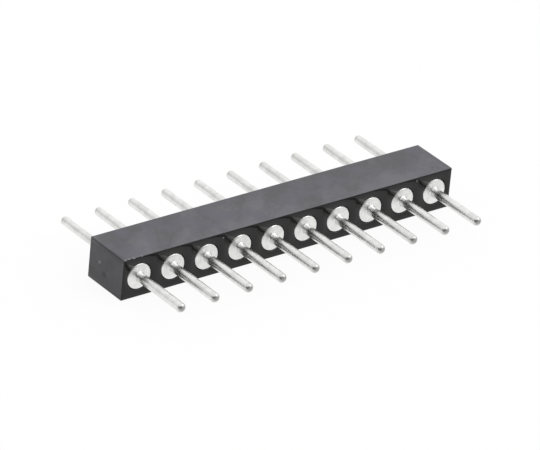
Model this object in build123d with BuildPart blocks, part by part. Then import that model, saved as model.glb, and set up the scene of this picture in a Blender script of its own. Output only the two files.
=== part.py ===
"""Single-row header with turned round pins, lying on its long side.

X runs along the row, Y along the pins and Z is up. The flanged ends of the pins point to -Y
and their tails to +Y. The origin is on the underside of the insulator, midway along the row and
midway through the insulator's depth. All sizes are in millimetres.
"""

import os

from build123d import *

# The row
pin_count = 10
pitch = 2.54

# Insulator: a moulded bar bored for each pin and counterbored to take its flange
end_margin = 1.27
bar_depth = 3.5
bar_height = 2.79
edge_break = 0.05
flange_clearance = 0.02

# Contact pin, front shaft
front_reach = 4.5
front_diameter = 0.6

# Contact pin, flange that sits in the counterbore with its face level with the front face
flange_diameter = 1.78
flange_thickness = 0.3
flange_bevel = 0.11
root_length = 0.2
root_width = 0.12

# Contact pin, barrel that is pressed through the bore and stands a little proud behind it
barrel_diameter = 1.2
barrel_proud = 0.12
press_clearance = 0.01

# Contact pin, tail
tail_reach = 4.57
tail_diameter = 0.56

# Rounded tips, alike at both ends of the pin: the curve runs in from the wall to a small flat
tip_length = 0.22
tip_inset = 0.14
tip_curve_radius = 0.45

# Places that follow from the sizes above
bar_length = (pin_count - 1) * pitch + 2 * end_margin
axis_height = bar_height / 2
front_face = -bar_depth / 2
rear_face = bar_depth / 2
front_tip = front_face - front_reach
tail_tip = rear_face + tail_reach
barrel_end = rear_face + barrel_proud
front_radius = front_diameter / 2
flange_radius = flange_diameter / 2
counterbore_radius = flange_radius + flange_clearance
seat = front_face + flange_thickness
barrel_radius = barrel_diameter / 2
bore_radius = barrel_radius + press_clearance
tail_radius = tail_diameter / 2


def make_insulator():
    """Moulded bar with broken edges, bored through and counterbored from the front face."""
    front_plane = Plane(origin=(0, front_face, axis_height), x_dir=(1, 0, 0), z_dir=(0, -1, 0))
    with BuildPart() as insulator:
        with BuildSketch(Plane.XY):
            Rectangle(bar_length, bar_depth)
        extrude(amount=bar_height)
        chamfer(insulator.edges(), edge_break)
        with BuildSketch(front_plane):
            with GridLocations(pitch, pitch, pin_count, 1):
                Circle(bore_radius)
        extrude(amount=-bar_depth, mode=Mode.SUBTRACT)
        with BuildSketch(front_plane):
            with GridLocations(pitch, pitch, pin_count, 1):
                Circle(counterbore_radius)
        extrude(amount=-flange_thickness, mode=Mode.SUBTRACT)
    insulator.part.label = "insulator"
    return insulator.part


def draw_front_shaft():
    """Half outline from the flat of the rounded front tip along the shaft to the flange's root."""
    shoulder = front_tip + tip_length
    tip_edge = (front_radius - tip_inset, front_tip)
    Line((0, front_tip), tip_edge)
    RadiusArc(tip_edge, (front_radius, shoulder), -tip_curve_radius)
    Line((front_radius, shoulder), (front_radius, front_face - root_length))


def draw_flange():
    """Half outline of the flared root, the bevelled flange and the seat under it."""
    root_edge = (front_radius + root_width, front_face)
    face_edge = (flange_radius - flange_bevel, front_face)
    bevel_end = (flange_radius, front_face + flange_bevel)
    Line((front_radius, front_face - root_length), root_edge)
    Line(root_edge, face_edge)
    Line(face_edge, bevel_end)
    Line(bevel_end, (flange_radius, seat))
    Line((flange_radius, seat), (barrel_radius, seat))


def draw_barrel():
    """Half outline of the barrel and the step from its end down to the tail."""
    Line((barrel_radius, seat), (barrel_radius, barrel_end))
    Line((barrel_radius, barrel_end), (tail_radius, barrel_end))


def draw_tail():
    """Half outline of the tail and its rounded tip."""
    shoulder = tail_tip - tip_length
    tip_edge = (tail_radius - tip_inset, tail_tip)
    Line((tail_radius, barrel_end), (tail_radius, shoulder))
    RadiusArc((tail_radius, shoulder), tip_edge, -tip_curve_radius)
    Line(tip_edge, (0, tail_tip))


def make_contact_pin(place):
    """One turned pin, revolved about its own axis at its place in the row, counted from -X."""
    pin_x = (place - (pin_count - 1) / 2) * pitch
    with BuildPart() as contact_pin:
        with BuildSketch(Plane(origin=(pin_x, 0, axis_height))):
            with BuildLine():
                draw_front_shaft()
                draw_flange()
                draw_barrel()
                draw_tail()
                Line((0, tail_tip), (0, front_tip))
            make_face()
        revolve(axis=Axis((pin_x, 0, axis_height), (0, 1, 0)))
    contact_pin.part.label = f"contact_pin_{place + 1:02d}"
    return contact_pin.part


os.makedirs("parts", exist_ok=True)
pieces = [make_insulator()]
for place in range(pin_count):
    pieces.append(make_contact_pin(place))
for piece in pieces:
    export_step(piece, f"parts/{piece.label}.step")
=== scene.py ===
"""Looks of the single-row pin header: turned, tin-plated pins in a black moulded bar, on a pale floor.

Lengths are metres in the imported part's own frame: X along the row, Y along the pins, Z up.
The flanged ends of the pins point to -Y.
"""

import math

import bmesh
import bpy
from mathutils import Matrix, Vector


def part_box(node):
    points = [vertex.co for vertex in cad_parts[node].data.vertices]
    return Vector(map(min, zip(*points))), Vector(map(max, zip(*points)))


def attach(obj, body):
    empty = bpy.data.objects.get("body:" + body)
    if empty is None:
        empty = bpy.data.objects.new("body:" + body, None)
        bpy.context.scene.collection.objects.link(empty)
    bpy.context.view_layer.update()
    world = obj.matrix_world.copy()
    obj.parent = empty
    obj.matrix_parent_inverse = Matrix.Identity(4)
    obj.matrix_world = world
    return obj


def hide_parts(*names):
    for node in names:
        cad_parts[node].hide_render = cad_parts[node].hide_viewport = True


MM = 0.001

# Turned pin: its tips are rounded by a little less than the shafts' radius, which leaves a small flat
RING_SEGMENTS = 96
ARC_STEPS = 12
FRONT_RADIUS = 0.305 * MM
ROOT_LENGTH = 0.16 * MM
ROOT_WIDTH = 0.12 * MM
FLANGE_RADIUS = 0.89 * MM
FLANGE_ROUNDING = 0.12 * MM
FLANGE_THICKNESS = 0.3 * MM
BARREL_RADIUS = 0.6 * MM
BARREL_PROUD = 0.12 * MM
TAIL_RADIUS = 0.28 * MM
TIP_RADIUS = 0.24 * MM

# Moulded bar: a cell for each way, with as many points round its bore as round its border
CELL_STEPS = 16
CELL_POINTS = 4 * CELL_STEPS
COUNTERBORE_RADIUS = 0.91 * MM
BORE_RADIUS = 0.61 * MM
OUTER_ROUNDING = 0.06 * MM
OUTER_STEPS = 4
MOUTH_ROUNDING = 0.015 * MM
MOUTH_STEPS = 2

# Meshes: angles in degrees up to which edges are shaded smooth and from which the bar's are rounded,
# the round shape of that bevel, and how near two places count as one
SMOOTH_UP_TO = 35
ROUNDED_FROM = 60
ROUND_BEVEL = 0.5
SAME_PLACE = 1e-8

# Tin plating: fine grain and cloudy patches that go from dull to bright, with marks of the turning tool.
# Each pair of edges is the stretch of a noise over which the look changes.
TIN_GRAIN_SCALE = 9000.0
TIN_GRAIN_SHARE = 0.5
TIN_GRAIN_EDGES = (0.3, 0.7)
TIN_PATCH_SCALE = 2200.0
TIN_PATCH_EDGES = (0.35, 0.65)
TIN_DULL = (0.7, 0.705, 0.69)
TIN_BRIGHT = (0.9, 0.905, 0.885)
TIN_ROUGHNESS = (0.23, 0.36)
TIN_RELIEF = 0.0015 * MM
TOOL_MARK_PITCH = 0.06 * MM
TOOL_MARK_HEIGHT = 0.12

# Faces turned across the pin's axis, told by their normal's share along it, are brighter and rougher
FACE_SLOPES = (0.8, 0.97)
FACE_TONE = 0.35
FACE_ROUGHNESS = 0.11

# The last stretch of a pin at both ends, where the tin is darker and rougher
END_LENGTH = 0.35 * MM
END_SHARE = 0.9
END_TIN = (0.56, 0.56, 0.55)
END_ROUGHNESS = 0.06

# Moulding: roughness and specular go from its glossy faces, in front and behind, to its matt top and
# underside, and its ends are matt in part. The slopes are a normal's share along Z or X.
GLOSSY_BLACK = (0.004, 0.0041, 0.0037)
MATT_SLOPES = (0.6, 0.9)
MATT_ENDS = 0.43
PLASTIC_ROUGHNESS = (0.13, 0.38)
PLASTIC_SPECULAR = (0.34, 0.5)
PLASTIC_GRAIN_SCALE = 4200.0
PLASTIC_RELIEF = 0.002 * MM

# Mottling of the matt faces: slanting streaks from dark to light, lighter towards the front
MATT_DARK = (0.059, 0.058, 0.067)
MATT_LIGHT = (0.11, 0.107, 0.123)
STREAK_SCALE = 600.0
STREAK_TURN = -40
STREAK_STRETCH = 2.4
STREAK_SHARE = 0.75
STREAK_EDGES = (0.36, 0.64)
LIGHTER_FORWARD = 0.055 / MM

# Bluish patches over the mottling
MATT_BLUISH = (0.078, 0.075, 0.101)
BLUISH_SCALE = 900.0
BLUISH_EDGES = (0.45, 0.7)
BLUISH_SHARE = 0.75

# Small scuffs, a dent drawn only as its painted shade, and specks of flash on the moulding: place and
# radius
# # in millimetres, and colour, which is full over the core's share of the radius
PALE = (0.16, 0.16, 0.17)
# Painted shade of a dent on the left end face, which has no hollow in the mesh
PAINTED_DENT_SHADE = (0.004, 0.004, 0.004)
FLASH = (0.19, 0.19, 0.2)
MARK_CORE = 0.4
MARKS = (
    (-12.7, 0.66, 1.54, 0.15, PALE),
    # The dent on the left end face: painted shade, not a hollow
    (-12.7, 0.1, 0.92, 0.3, PAINTED_DENT_SHADE),
    (-5.2, -1.75, 2.45, 0.09, PALE),
    (9.9, -1.75, 2.55, 0.09, PALE),
    (-12.57, -1.69, 2.79, 0.12, FLASH),
    (-12.28, -1.68, 2.79, 0.09, FLASH),
    (-11.92, -1.7, 2.79, 0.11, FLASH),
    (-11.33, -1.71, 2.78, 0.08, FLASH),
)

# Floor: the shares of its own glow that the camera and the part's shiny surfaces see. In those
# surfaces the glow fades to its far level between two places in front of the part.
FLOOR_SIZE = 1.2
FLOOR_COLOUR = (0.95, 0.95, 0.95)
FLOOR_ROUGHNESS = 0.9
FLOOR_SEEN = 0.92
FLOOR_MIRRORED = 0.88
FLOOR_FADE = (-9.5 * MM, -6.5 * MM)
FLOOR_FAR = 0.3

# Surroundings: brightness of the dark band on the camera's side, and of what lies beside it, above it
# and behind the part. The band's edges are bearings from the camera's side and elevations, in degrees,
# and the back's edge is how far a direction points to +Y.
BAND_LEVEL = 0.09
BAND_RIGHT = (42, 74)
BAND_LEFT = (105, 130)
BAND_TOP = (30, 50)
SIDES = 1.05
OVERHEAD = 1.15
BEHIND = 1.0
BACK_EDGE = (0.0, 0.5)

# A lamp and a shade: brightness added, direction, and the angles in degrees between which it fades
LAMP = 1.7
LAMP_DIRECTION = (0.53, -0.47, 0.7)
LAMP_REACH = (12, 22)
SHADE = -0.3
SHADE_DIRECTION = (-0.35, 0.93, 0.1)
SHADE_REACH = (20, 45)

# Camera: a long lens, above the row and to its left. Angles are in degrees, the offset is to the right
# and up in the picture, and the sensor and the lens are in millimetres, as Blender has them.
CAMERA_AZIMUTH = -39.519
CAMERA_ELEVATION = 28.56
CAMERA_ROLL = 5.605
CAMERA_DISTANCE = 343.43 * MM
CAMERA_OFFSET = (-0.04676 * MM, 0.98291 * MM)
CAMERA_CLIP = 10 * MM
SENSOR_WIDTH = 36.0
LENS = 369.11


def new_material(name):
    """A node material with its shader and output, ready for more nodes."""
    material = bpy.data.materials.new(name)
    material.use_nodes = True
    return material, material.node_tree.nodes, material.node_tree.links


def feed(links, socket, value):
    """Links a socket to another, or sets it to a number."""
    if isinstance(value, (int, float)):
        socket.default_value = value
    else:
        links.new(value, socket)


def calc(nodes, links, operation, *values):
    """A math node over numbers and sockets."""
    node = nodes.new("ShaderNodeMath")
    node.operation = operation
    for socket, value in zip(node.inputs, values):
        feed(links, socket, value)
    return node.outputs[0]


def average(nodes, links, first, second, share):
    """Average of two values in which the first has the given share."""
    rest = calc(nodes, links, "MULTIPLY", second, 1 - share)
    return calc(nodes, links, "MULTIPLY_ADD", first, share, rest)


def blend(nodes, links, value, start, end, low, high):
    """Goes smoothly from low to high while value goes from start to end."""
    node = nodes.new("ShaderNodeMapRange")
    node.interpolation_type = "SMOOTHSTEP"
    feed(links, node.inputs["Value"], value)
    node.inputs["From Min"].default_value = start
    node.inputs["From Max"].default_value = end
    feed(links, node.inputs["To Min"], low)
    feed(links, node.inputs["To Max"], high)
    return node.outputs["Result"]


def separate(nodes, links, vector):
    """The sockets X, Y and Z of a vector."""
    node = nodes.new("ShaderNodeSeparateXYZ")
    links.new(vector, node.inputs[0])
    return node.outputs


def noise(nodes, links, coords, scale, detail=2.0):
    """Noise over the part's own coordinates, about 0 to 1."""
    node = nodes.new("ShaderNodeTexNoise")
    node.inputs["Scale"].default_value = scale
    node.inputs["Detail"].default_value = detail
    links.new(coords, node.inputs["Vector"])
    return node.outputs["Fac"]


def tint(nodes, links, factor, first, second):
    """Colour that goes from first to second with the factor."""
    node = nodes.new("ShaderNodeMix")
    node.data_type = "RGBA"
    links.new(factor, node.inputs["Factor"])
    # For colours the node uses its inputs 6 and 7 and its output 2
    for socket, colour in ((node.inputs[6], first), (node.inputs[7], second)):
        if isinstance(colour, tuple):
            socket.default_value = (*colour, 1)
        else:
            links.new(colour, socket)
    return node.outputs[2]


def emboss(nodes, links, shader, height, depth):
    """Bump from a height of about 0 to 1, where 1 stands for the given depth."""
    bump = nodes.new("ShaderNodeBump")
    bump.inputs["Strength"].default_value = 1.0
    bump.inputs["Distance"].default_value = depth
    links.new(height, bump.inputs["Height"])
    links.new(bump.outputs["Normal"], shader.inputs["Normal"])


def spot(nodes, links, coords, centre, radius):
    """1 over the core of a small round mark, fading to 0 at its edge."""
    away = nodes.new("ShaderNodeVectorMath")
    away.operation = "DISTANCE"
    away.inputs[1].default_value = centre
    links.new(coords, away.inputs[0])
    return blend(nodes, links, away.outputs["Value"], MARK_CORE * radius, radius, 1.0, 0.0)


def tin_material(front_tip, tail_tip):
    """Turned and tin-plated metal: fine grain, cloudy patches and faint tool marks round the axis."""
    material, nodes, links = new_material("tin_plating")
    shader = nodes["Principled BSDF"]
    coords = nodes.new("ShaderNodeTexCoord").outputs["Object"]
    normal = nodes.new("ShaderNodeNewGeometry").outputs["Normal"]
    place = separate(nodes, links, coords)["Y"]
    grain = noise(nodes, links, coords, TIN_GRAIN_SCALE)
    cloud = noise(nodes, links, coords, TIN_PATCH_SCALE)
    patch = blend(nodes, links, cloud, *TIN_PATCH_EDGES, 0.0, 1.0)

    middle = (front_tip + tail_tip) / 2
    reach = (tail_tip - front_tip) / 2
    away = calc(nodes, links, "ABSOLUTE", calc(nodes, links, "SUBTRACT", place, middle))
    end = blend(nodes, links, away, reach - END_LENGTH, reach, 0.0, END_SHARE)
    slope = calc(nodes, links, "ABSOLUTE", separate(nodes, links, normal)["Y"])
    face = blend(nodes, links, slope, *FACE_SLOPES, 0.0, 1.0)

    tone = average(nodes, links, grain, patch, TIN_GRAIN_SHARE)
    tone = calc(nodes, links, "MULTIPLY_ADD", face, FACE_TONE, tone)
    colour = tint(nodes, links, tone, TIN_DULL, TIN_BRIGHT)
    links.new(tint(nodes, links, end, colour, END_TIN), shader.inputs["Base Color"])
    shader.inputs["Metallic"].default_value = 1.0

    rough = blend(nodes, links, grain, *TIN_GRAIN_EDGES, *TIN_ROUGHNESS)
    rough = calc(nodes, links, "MULTIPLY_ADD", end, END_ROUGHNESS, rough)
    rough = calc(nodes, links, "MULTIPLY_ADD", face, FACE_ROUGHNESS, rough)
    links.new(rough, shader.inputs["Roughness"])

    rate = 2 * math.pi / TOOL_MARK_PITCH
    rings = calc(nodes, links, "SINE", calc(nodes, links, "MULTIPLY", place, rate))
    height = calc(nodes, links, "MULTIPLY_ADD", rings, TOOL_MARK_HEIGHT, grain)
    emboss(nodes, links, shader, height, TIN_RELIEF)
    return material


def mottled_colour(nodes, links, coords, grain):
    """Colour of the matt moulding: slanting streaks, lighter towards the front, with bluish patches."""
    streaked = nodes.new("ShaderNodeMapping")
    streaked.vector_type = "TEXTURE"
    streaked.inputs["Rotation"].default_value = (0, 0, math.radians(STREAK_TURN))
    streaked.inputs["Scale"].default_value = (1.0, STREAK_STRETCH, 1.0)
    links.new(coords, streaked.inputs["Vector"])
    streaks = noise(nodes, links, streaked.outputs[0], STREAK_SCALE)
    shade = average(nodes, links, streaks, grain, STREAK_SHARE)
    place = separate(nodes, links, coords)["Y"]
    shade = calc(nodes, links, "MULTIPLY_ADD", place, -LIGHTER_FORWARD, shade)
    shade = blend(nodes, links, shade, *STREAK_EDGES, 0.0, 1.0)
    cloud = noise(nodes, links, coords, BLUISH_SCALE, detail=1.0)
    bluish = blend(nodes, links, cloud, *BLUISH_EDGES, 0.0, BLUISH_SHARE)
    return tint(nodes, links, bluish, tint(nodes, links, shade, MATT_DARK, MATT_LIGHT), MATT_BLUISH)


def plastic_material():
    """Black moulding: glossy in front and behind, greyer and matt on its top, underside and ends."""
    material, nodes, links = new_material("black_plastic")
    shader = nodes["Principled BSDF"]
    coords = nodes.new("ShaderNodeTexCoord").outputs["Object"]
    normal = separate(nodes, links, nodes.new("ShaderNodeNewGeometry").outputs["Normal"])
    upright = calc(nodes, links, "ABSOLUTE", normal["Z"])
    endways = calc(nodes, links, "ABSOLUTE", normal["X"])
    above = blend(nodes, links, upright, *MATT_SLOPES, 0.0, 1.0)
    ends = blend(nodes, links, endways, *MATT_SLOPES, 0.0, MATT_ENDS)
    matt = calc(nodes, links, "MAXIMUM", above, ends)

    grain = noise(nodes, links, coords, PLASTIC_GRAIN_SCALE)
    colour = tint(nodes, links, matt, GLOSSY_BLACK, mottled_colour(nodes, links, coords, grain))
    for x, y, z, radius, mark in MARKS:
        mask = spot(nodes, links, coords, (x * MM, y * MM, z * MM), radius * MM)
        colour = tint(nodes, links, mask, colour, mark)
    links.new(colour, shader.inputs["Base Color"])
    for name, pair in (("Roughness", PLASTIC_ROUGHNESS), ("Specular IOR Level", PLASTIC_SPECULAR)):
        links.new(blend(nodes, links, matt, 0.0, 1.0, *pair), shader.inputs[name])
    emboss(nodes, links, shader, grain, PLASTIC_RELIEF)
    return material


def shade_mesh(mesh):
    """Smooth shading that keeps the mesh's sharper edges hard."""
    mesh.shade_smooth()
    mesh.set_sharp_from_angle(angle=math.radians(SMOOTH_UP_TO))


def new_object(name, verts, faces):
    """A shaded object from vertices and faces."""
    mesh = bpy.data.meshes.new(name)
    mesh.from_pydata(verts, [], faces)
    mesh.validate()
    shade_mesh(mesh)
    obj = bpy.data.objects.new(name, mesh)
    even = obj.modifiers.new("even_normals", "WEIGHTED_NORMAL")
    even.keep_sharp = True
    bpy.context.scene.collection.objects.link(obj)
    return obj


def ring_faces(a, b):
    """Faces between two closed rings of the same length, either of which may be a single point."""
    count = max(len(a), len(b))
    faces = []
    for k in range(count):
        n = (k + 1) % count
        if len(a) == 1:
            faces.append((a[0], b[k], b[n]))
        elif len(b) == 1:
            faces.append((a[k], b[0], a[n]))
        else:
            faces.append((a[k], b[k], b[n], a[n]))
    return faces


def arc_points(centre, radius, start, end):
    """Points on an arc in the (radius, y) half plane, from start to end in degrees."""
    steps = range(ARC_STEPS + 1)
    angles = [math.radians(start + (end - start) * step / ARC_STEPS) for step in steps]
    return [(centre[0] + radius * math.cos(a), centre[1] + radius * math.sin(a)) for a in angles]


def curve_points(start, control, end):
    """Points on the quadratic curve from start to end that the control point pulls towards itself."""
    points = []
    for step in range(ARC_STEPS + 1):
        t = step / ARC_STEPS
        shares = ((1 - t) ** 2, 2 * t * (1 - t), t**2)
        axes = zip(start, control, end)
        points.append(tuple(sum(k * v for k, v in zip(shares, values)) for values in axes))
    return points


def pin_profile(front_tip, front_face, rear_face, tail_tip):
    """Half outline of the turned pin as (radius, y) points, from the front tip to the tail's tip."""
    seat = front_face + FLANGE_THICKNESS
    barrel_end = rear_face + BARREL_PROUD
    tip_centre = (FRONT_RADIUS - TIP_RADIUS, front_tip + TIP_RADIUS)
    root_start = (FRONT_RADIUS, front_face - ROOT_LENGTH)
    root_corner = (FRONT_RADIUS, front_face)
    root_end = (FRONT_RADIUS + ROOT_WIDTH, front_face)
    rim_centre = (FLANGE_RADIUS - FLANGE_ROUNDING, front_face + FLANGE_ROUNDING)
    tail_centre = (TAIL_RADIUS - TIP_RADIUS, tail_tip - TIP_RADIUS)
    points = [(0.0, front_tip)]
    points += arc_points(tip_centre, TIP_RADIUS, -90, 0)
    points += curve_points(root_start, root_corner, root_end)
    points += arc_points(rim_centre, FLANGE_ROUNDING, -90, 0)
    points += [(FLANGE_RADIUS, seat), (BARREL_RADIUS, seat)]
    points += [(BARREL_RADIUS, barrel_end), (TAIL_RADIUS, barrel_end)]
    points += arc_points(tail_centre, TIP_RADIUS, 0, 90)
    points += [(0.0, tail_tip)]
    return points


def turn(name, profile, axis_x, axis_z):
    """An object revolved from (radius, y) points about the line along Y at axis_x and axis_z."""
    verts, rings = [], []
    for radius, y in profile:
        if radius == 0:
            rings.append([len(verts)])
            verts.append((axis_x, y, axis_z))
            continue
        rings.append(range(len(verts), len(verts) + RING_SEGMENTS))
        for k in range(RING_SEGMENTS):
            angle = 2 * math.pi * k / RING_SEGMENTS
            verts.append((axis_x + radius * math.cos(angle), y, axis_z + radius * math.sin(angle)))
    faces = []
    for a, b in zip(rings, rings[1:]):
        faces += ring_faces(a, b)
    return new_object(name, verts, faces)


def pin_names(frame):
    """Names of the contact pins' nodes, in their order along the row."""
    return sorted(name for name in frame["nodes"] if name.startswith("contact_pin_"))


def make_pins(frame, tin):
    """A finely turned pin in the place of each contact pin, seated by the bar's own faces."""
    bar_low, bar_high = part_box("insulator")
    for name in pin_names(frame):
        low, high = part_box(name)
        middle = (low + high) / 2
        profile = pin_profile(low.y, bar_low.y, bar_high.y, high.y)
        pin = turn(name.replace("contact_pin", "turned_pin"), profile, middle.x, middle.z)
        pin.data.materials.append(tin)
        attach(pin, "root")
        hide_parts(name)


def cell_border(low_x, high_x, low_z, high_z):
    """Points round a rectangle in (x, z), anticlockwise from its lower right-hand corner."""
    corners = [(high_x, low_z), (high_x, high_z), (low_x, high_z), (low_x, low_z)]
    points = []
    for start, end in zip(corners, corners[1:] + corners[:1]):
        for k in range(CELL_STEPS):
            points.append(tuple(a + (b - a) * k / CELL_STEPS for a, b in zip(start, end)))
    return points


def bar_mesh(low, high, ways):
    """Vertices and faces of the bar: a row of cells, each with its counterbore and bore."""
    pitch = (high.x - low.x) / ways
    axis_z = (low.z + high.z) / 2
    seat = low.y + FLANGE_THICKNESS
    verts, faces, index = [], [], {}

    def vertex(x, y, z):
        """Index of the vertex at a place, which neighbouring cells share."""
        key = (round(x / SAME_PLACE), round(y / SAME_PLACE), round(z / SAME_PLACE))
        if key not in index:
            index[key] = len(verts)
            verts.append((x, y, z))
        return index[key]

    def circle(x, y, radius):
        """A ring of vertices that starts below right, as the cell's border does."""
        ring = []
        for k in range(CELL_POINTS):
            angle = 2 * math.pi * (k - CELL_STEPS / 2) / CELL_POINTS
            ring.append(vertex(x + radius * math.cos(angle), y, axis_z + radius * math.sin(angle)))
        return ring

    for way in range(ways):
        x = low.x + (way + 0.5) * pitch
        border = cell_border(x - pitch / 2, x + pitch / 2, low.z, high.z)
        front = [vertex(px, low.y, pz) for px, pz in border]
        rear = [vertex(px, high.y, pz) for px, pz in border]
        mouth = circle(x, low.y, COUNTERBORE_RADIUS)
        counterbore_floor = circle(x, seat, COUNTERBORE_RADIUS)
        bore = circle(x, seat, BORE_RADIUS)
        bore_end = circle(x, high.y, BORE_RADIUS)
        rings = (front, mouth, counterbore_floor, bore, bore_end, rear)
        for a, b in zip(rings, rings[1:]):
            faces += ring_faces(a, b)
        # The border's right, top, left and lower sides, where the bar ends there
        outside = (way == ways - 1, True, way == 0, True)
        for k in range(CELL_POINTS):
            n = (k + 1) % CELL_POINTS
            if outside[k // CELL_STEPS]:
                faces.append((front[k], front[n], rear[n], rear[k]))
    return verts, faces


def soften_edges(bar, low, high):
    """Rounds the bar's outer edges and, more finely, the mouths of the counterbores."""
    mesh = bmesh.new()
    mesh.from_mesh(bar.data)
    bmesh.ops.recalc_face_normals(mesh, faces=mesh.faces)
    outer, mouths = [], []
    for edge in mesh.edges:
        if len(edge.link_faces) != 2 or edge.calc_face_angle(0) < math.radians(ROUNDED_FROM):
            continue
        a, b = (vert.co for vert in edge.verts)
        sides = [
            (axis, limit)
            for axis in range(3)
            for limit in (low[axis], high[axis])
            if abs(a[axis] - limit) < SAME_PLACE and abs(b[axis] - limit) < SAME_PLACE
        ]
        # Outer edges lie on two sides of the bar, and the mouths on its front face alone
        if len(sides) == 2:
            outer.append(edge)
        elif sides == [(1, low.y)]:
            mouths.append(edge)
    settings = {"affect": "EDGES", "profile": ROUND_BEVEL, "clamp_overlap": True}
    bmesh.ops.bevel(mesh, geom=mouths, offset=MOUTH_ROUNDING, segments=MOUTH_STEPS, **settings)
    outer = [edge for edge in outer if edge.is_valid]
    bmesh.ops.bevel(mesh, geom=outer, offset=OUTER_ROUNDING, segments=OUTER_STEPS, **settings)
    mesh.to_mesh(bar.data)
    mesh.free()
    shade_mesh(bar.data)


def make_insulator(frame, plastic):
    """The moulded bar as one mesh in the insulator's place."""
    low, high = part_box("insulator")
    bar = new_object("moulded_bar", *bar_mesh(low, high, len(pin_names(frame))))
    soften_edges(bar, low, high)
    bar.data.materials.append(plastic)
    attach(bar, "root")
    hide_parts("insulator")


def make_floor():
    """A pale floor that glows to the camera and in the part's shiny surfaces."""
    material, nodes, links = new_material("floor")
    shader = nodes["Principled BSDF"]
    shader.inputs["Base Color"].default_value = (*FLOOR_COLOUR, 1)
    shader.inputs["Roughness"].default_value = FLOOR_ROUGHNESS
    path = nodes.new("ShaderNodeLightPath")
    to_camera = path.outputs["Is Camera Ray"]
    seen = calc(nodes, links, "MULTIPLY", to_camera, FLOOR_SEEN)
    mirrored = calc(nodes, links, "MULTIPLY", path.outputs["Is Glossy Ray"], FLOOR_MIRRORED)
    place = separate(nodes, links, nodes.new("ShaderNodeNewGeometry").outputs["Position"])["Y"]
    level = blend(nodes, links, place, *FLOOR_FADE, FLOOR_FAR, 1.0)
    glow = nodes.new("ShaderNodeEmission")
    links.new(calc(nodes, links, "MAXIMUM", to_camera, level), glow.inputs["Strength"])
    mix = nodes.new("ShaderNodeMixShader")
    links.new(calc(nodes, links, "MAXIMUM", seen, mirrored), mix.inputs["Fac"])
    links.new(shader.outputs[0], mix.inputs[1])
    links.new(glow.outputs[0], mix.inputs[2])
    links.new(mix.outputs[0], nodes["Material Output"].inputs["Surface"])
    bpy.ops.mesh.primitive_plane_add(size=FLOOR_SIZE)
    floor = bpy.context.object
    floor.name = "floor"
    floor.data.materials.append(material)


def make_world():
    """White surroundings with a darker band, low down, on the camera's side, a lamp and a shade."""
    world = bpy.data.worlds.new("studio")
    bpy.context.scene.world = world
    world.use_nodes = True
    nodes, links = world.node_tree.nodes, world.node_tree.links
    coords = nodes.new("ShaderNodeTexCoord").outputs["Generated"]
    direction = separate(nodes, links, coords)

    # Bearing from the camera's own side, growing to the right
    turned = nodes.new("ShaderNodeVectorRotate")
    turned.rotation_type = "Z_AXIS"
    turned.inputs["Angle"].default_value = -math.radians(CAMERA_AZIMUTH)
    links.new(coords, turned.inputs["Vector"])
    own = separate(nodes, links, turned.outputs[0])
    toward = calc(nodes, links, "MULTIPLY", own["Y"], -1.0)
    bearing = calc(nodes, links, "ARCTAN2", own["X"], toward)
    opposite = calc(nodes, links, "MULTIPLY", bearing, -1.0)

    right_edge, left_edge, top_edge = (
        [math.radians(v) for v in edge] for edge in (BAND_RIGHT, BAND_LEFT, BAND_TOP)
    )
    right = blend(nodes, links, bearing, *right_edge, 0.0, 1.0)
    left = blend(nodes, links, opposite, *left_edge, 0.0, 1.0)
    side = calc(nodes, links, "MAXIMUM", right, left)
    low = blend(nodes, links, side, 0.0, 1.0, BAND_LEVEL, SIDES)
    front = blend(nodes, links, direction["Z"], *(math.sin(v) for v in top_edge), low, OVERHEAD)
    level = blend(nodes, links, direction["Y"], *BACK_EDGE, front, BEHIND)
    for centre, reach, change in (
        (LAMP_DIRECTION, LAMP_REACH, LAMP),
        (SHADE_DIRECTION, SHADE_REACH, SHADE),
    ):
        near = nodes.new("ShaderNodeVectorMath")
        near.operation = "DOT_PRODUCT"
        near.inputs[1].default_value = Vector(centre).normalized()
        links.new(coords, near.inputs[0])
        inner, outer = (math.cos(math.radians(v)) for v in reach)
        share = blend(nodes, links, near.outputs["Value"], outer, inner, 0.0, change)
        level = calc(nodes, links, "ADD", level, share)
    links.new(level, nodes["Background"].inputs["Strength"])
    nodes["Background"].inputs["Color"].default_value = (1, 1, 1, 1)


def make_camera():
    """The camera, turned about the part's origin by its azimuth, elevation and roll."""
    azimuth, elevation, roll = (
        math.radians(v) for v in (CAMERA_AZIMUTH, CAMERA_ELEVATION, CAMERA_ROLL)
    )
    back = Vector(
        (
            math.sin(azimuth) * math.cos(elevation),
            -math.cos(azimuth) * math.cos(elevation),
            math.sin(elevation),
        )
    )
    level = Vector((math.cos(azimuth), math.sin(azimuth), 0))
    upright = back.cross(level)
    right = level * math.cos(roll) + upright * math.sin(roll)
    up = upright * math.cos(roll) - level * math.sin(roll)
    data = bpy.data.cameras.new("camera")
    data.sensor_width = SENSOR_WIDTH
    data.lens = LENS
    data.clip_start = CAMERA_CLIP
    camera = bpy.data.objects.new("camera", data)
    matrix = Matrix((right, up, back)).transposed().to_4x4()
    matrix.translation = right * CAMERA_OFFSET[0] + up * CAMERA_OFFSET[1] + back * CAMERA_DISTANCE
    camera.matrix_world = matrix
    bpy.context.scene.collection.objects.link(camera)
    bpy.context.scene.camera = camera


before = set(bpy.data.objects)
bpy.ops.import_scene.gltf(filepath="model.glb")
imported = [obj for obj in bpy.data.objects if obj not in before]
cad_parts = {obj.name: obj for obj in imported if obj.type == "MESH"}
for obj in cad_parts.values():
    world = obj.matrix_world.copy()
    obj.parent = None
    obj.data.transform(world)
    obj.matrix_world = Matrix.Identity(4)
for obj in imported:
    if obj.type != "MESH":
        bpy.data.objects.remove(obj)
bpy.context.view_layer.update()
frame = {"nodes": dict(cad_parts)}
bpy.context.scene.view_settings.view_transform = "Standard"
first_low, first_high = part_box("contact_pin_01")
tin = tin_material(first_low.y, first_high.y)
plastic = plastic_material()
make_pins(frame, tin)
make_insulator(frame, plastic)
make_floor()
make_world()
make_camera()
